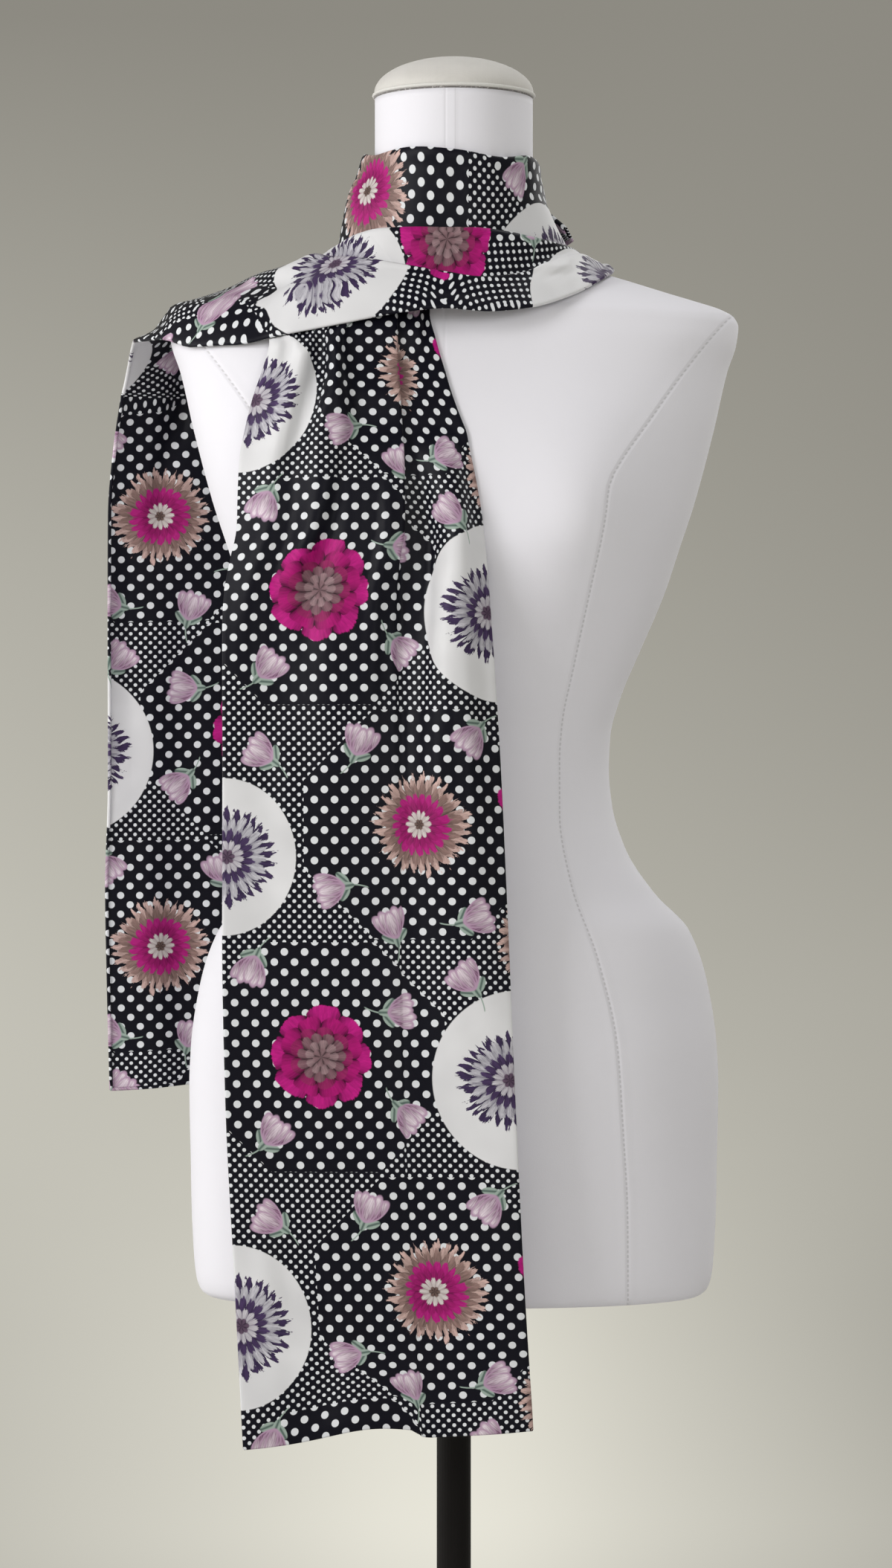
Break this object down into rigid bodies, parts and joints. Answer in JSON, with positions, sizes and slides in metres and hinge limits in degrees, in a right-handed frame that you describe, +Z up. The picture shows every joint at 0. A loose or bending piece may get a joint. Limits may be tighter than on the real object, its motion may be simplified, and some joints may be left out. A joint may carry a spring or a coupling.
{
  "type": "silk scarf on a dress form",
  "caption": "Long printed silk scarf wound round the neck of a limbless dress form on a round stand, one end hanging in front and the other behind.",
  "frame": {"origin": "centre of the stand's underside, on the floor", "axes": "+Z up along the pole, -Y the way the form faces, +X towards the form's left side"},
  "size_m": [0.4331, 0.38, 1.5998],
  "materials": {
    "silk": "smooth silk twill with a soft sheen, navy black with off-white dots and flowers",
    "form_cover": "stretched white cotton jersey",
    "cap_cloth": "ivory cotton",
    "black_metal": "satin black paint"
  },
  "bodies": {
    "root": {"scarf_front_end": "silk", "scarf_inner_turn": "silk", "scarf_outer_turn": "silk", "scarf_back_end": "silk", "form_body": "form_cover", "form_neck_cap": "cap_cloth", "stand_pole": "black_metal", "stand_base": "black_metal"}
  },
  "joints": []
}
